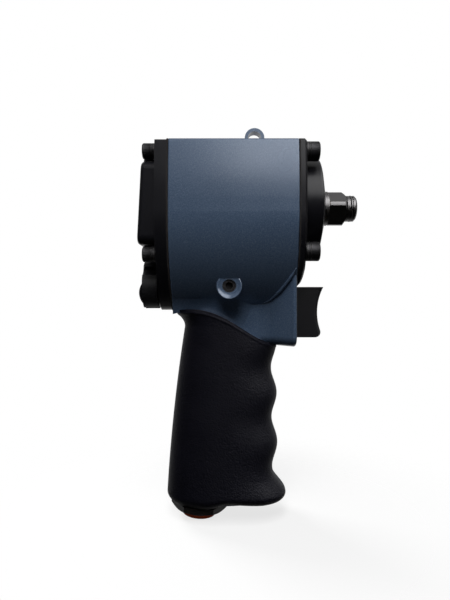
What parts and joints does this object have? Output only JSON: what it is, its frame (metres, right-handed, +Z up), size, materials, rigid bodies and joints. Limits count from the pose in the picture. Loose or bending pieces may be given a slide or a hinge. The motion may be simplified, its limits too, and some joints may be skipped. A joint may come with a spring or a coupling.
{
  "type": "air impact wrench",
  "caption": "Pistol-grip air impact wrench: squat cast barrel, square drive anvil, trigger, reverse knob, rubber-sleeved handle and a hexagon air inlet.",
  "frame": {"origin": "on the drive axis at the anvil's shoulder, where a socket comes to rest", "axes": "+X out of the tool along the drive axis, +Z up away from the handle, +Y to the tool's left"},
  "size_m": [0.1037, 0.057, 0.1873],
  "materials": {
    "housing_paint": "die cast, metallic blue-grey paint",
    "black_casting": "die cast, satin black paint",
    "grip_rubber": "moulded, fine matte texture",
    "black_steel": "black oxide",
    "anvil_steel": "hardened, dark satin",
    "inlet_steel": "black oxide, turned",
    "trigger_plastic": "moulded black",
    "knob_plastic": "moulded black",
    "ring_plastic": "moulded red-orange",
    "gasket_sheet": "dark fibre sheet",
    "seal_rubber": "smooth black",
    "ground_steel": "ground",
    "plate_aluminium": "machined",
    "vane_composite": "fibre composite",
    "bush_bronze": "sintered bronze",
    "seat_plastic": "natural",
    "screen_steel": "pressed sheet",
    "muffler_foam": "porous"
  },
  "bodies": {
    "casing": {"motor_housing": "housing_paint", "rubber_grip": "grip_rubber", "front_cover": "black_casting", "front_gasket": "gasket_sheet", "front_bolts": "black_steel", "front_lock_washers": "black_steel", "front_flat_washers": "black_steel", "anvil_bush": "bush_bronze", "front_end_plate": "plate_aluminium", "rear_end_plate": "plate_aluminium", "cylinder_liner": "ground_steel", "liner_dowel": "ground_steel", "front_bearing_outer_ring": "ground_steel", "rear_bearing_outer_ring": "ground_steel", "rear_cover": "black_casting", "rear_gasket": "gasket_sheet", "rear_bolts": "black_steel", "rear_lock_washers": "black_steel", "rear_flat_washers": "black_steel", "detent_ball": "ground_steel", "detent_spring": "ground_steel", "side_set_screw": "black_steel", "trigger_bush": "bush_bronze", "trigger_o_ring": "seal_rubber", "throttle_seat": "seat_plastic", "throttle_spring": "ground_steel", "inlet_bush": "inlet_steel", "inlet_ring": "ring_plastic", "inlet_o_ring": "seal_rubber", "inlet_screen": "screen_steel", "exhaust_muffler": "muffler_foam"},
    "rotor": {"rotor": "ground_steel", "rotor_vanes": "vane_composite", "front_bearing_inner_ring": "ground_steel", "rear_bearing_inner_ring": "ground_steel", "hammer_cage": "ground_steel", "hammer_pins": "ground_steel"},
    "bearing_balls": {"front_bearing_balls": "ground_steel", "rear_bearing_balls": "ground_steel"},
    "hammer": {"hammer": "ground_steel"},
    "anvil": {"anvil": "anvil_steel", "socket_retaining_ring": "anvil_steel", "retaining_o_ring": "seal_rubber"},
    "trigger": {"trigger": "trigger_plastic", "trigger_stem": "ground_steel"},
    "throttle_valve": {"throttle_valve": "ground_steel"},
    "reverse_knob": {"reverse_knob": "knob_plastic", "reverse_knob_screw": "black_steel", "reverse_valve": "ground_steel", "reverse_o_ring": "seal_rubber"}
  },
  "joints": [
    {"name": "rotor_spin", "type": "hinge", "parent": "casing", "child": "rotor", "pos_m": [0, 0, 0], "axis": [1, 0, 0], "continuous": true},
    {"name": "ball_race_spin", "type": "hinge", "parent": "casing", "child": "bearing_balls", "pos_m": [0, 0, 0], "axis": [1, 0, 0], "continuous": true},
    {"name": "anvil_spin", "type": "hinge", "parent": "casing", "child": "anvil", "pos_m": [0, 0, 0], "axis": [1, 0, 0], "continuous": true},
    {"name": "hammer_rock", "type": "hinge", "parent": "rotor", "child": "hammer", "pos_m": [-0.03, 0, 0.017], "axis": [1, 0, 0], "range_deg": [-6, 6]},
    {"name": "trigger_press", "type": "slide", "parent": "casing", "child": "trigger", "axis": [-1, 0, 0], "range_m": [0, 0.0045], "stiffness_N_per_m": 600},
    {"name": "throttle_tilt", "type": "hinge", "parent": "casing", "child": "throttle_valve", "pos_m": [-0.05107, 0, -0.0832], "axis": [0, -1, 0], "range_deg": [0, 7.9], "deforming": ["throttle_spring"]},
    {"name": "reverse_turn", "type": "hinge", "parent": "casing", "child": "reverse_knob", "pos_m": [-0.085, 0, -0.0382], "axis": [1, 0, 0], "range_deg": [-40, 40]}
  ],
  "couplings": [
    {"joint": "ball_race_spin", "follows": "rotor_spin", "ratio": 0.4},
    {"joint": "anvil_spin", "follows": "rotor_spin", "ratio": 1},
    {"joint": "throttle_tilt", "follows": "trigger_press", "rad_per_m": 30.3}
  ]
}
